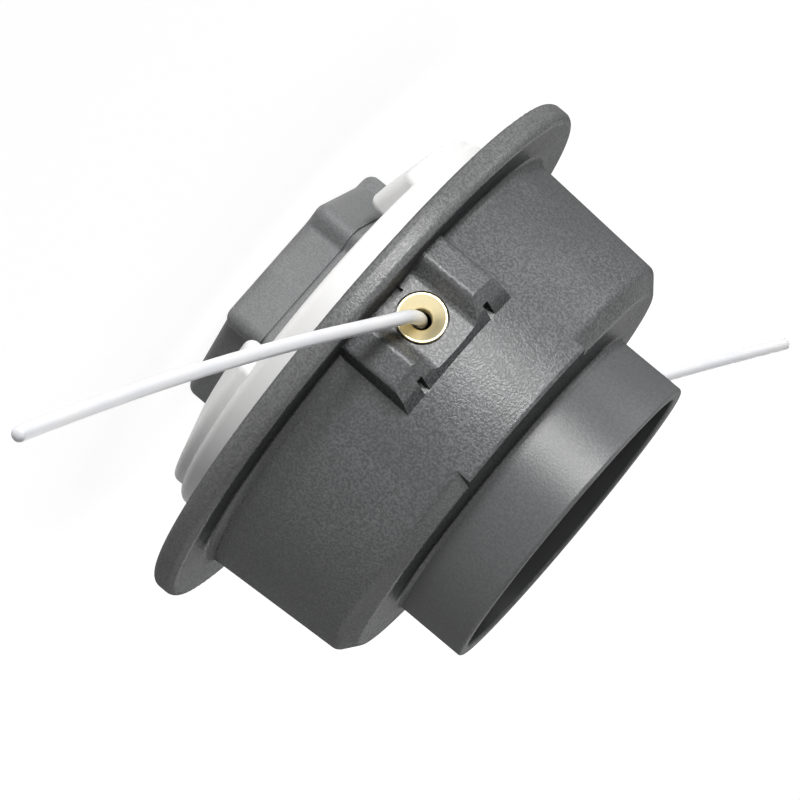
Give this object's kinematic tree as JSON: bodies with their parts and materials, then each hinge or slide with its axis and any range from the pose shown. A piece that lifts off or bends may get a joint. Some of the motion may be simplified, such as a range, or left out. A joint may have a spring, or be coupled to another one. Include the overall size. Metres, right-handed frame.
{
  "type": "bump feed trimmer head",
  "caption": "Round trimmer head: rimmed drum with an open collar and threaded arbor, sprung line spool with a lobed bump knob, and cutting line leaving brass eyelets.",
  "frame": {"origin": "on the axis of rotation, in the plane of the bump knob's flat bottom", "axes": "+Z along the axis of rotation from the knob to the collar; the line eyelets lie on -Y and +Y"},
  "size_m": [0.1565, 0.2413, 0.0713],
  "materials": {
    "housing_nylon": "black glass-filled nylon, dulled to dark grey, with a fine moulded grain",
    "knob_nylon": "smooth matte black nylon",
    "spool_nylon": "white nylon, satin",
    "line_nylon": "milky white nylon monofilament",
    "eyelet_brass": "turned and polished",
    "bright_steel": "zinc plated"
  },
  "bodies": {
    "housing": {"housing": "housing_nylon", "arbor_insert": "bright_steel", "retaining_bolt": "bright_steel", "retaining_washer": "bright_steel", "eyelet_front": "eyelet_brass", "eyelet_rear": "eyelet_brass", "compression_spring": "bright_steel", "line_front": "line_nylon", "line_rear": "line_nylon"},
    "spring_seat": {"spring_seat": "bright_steel"},
    "spool": {"spool": "spool_nylon", "line_winding_lower": "line_nylon", "line_winding_upper": "line_nylon", "bump_knob": "knob_nylon"}
  },
  "joints": [
    {"name": "bump_travel", "type": "slide", "parent": "housing", "child": "spring_seat", "axis": [0, 0, 1], "range_m": [0, 0.006], "stiffness_N_per_m": 1500, "springref_m": -0.01, "deforming": ["compression_spring"]},
    {"name": "spool_spin", "type": "hinge", "parent": "spring_seat", "child": "spool", "pos_m": [0, 0, 0.03], "axis": [0, 0, 1], "continuous": true}
  ]
}
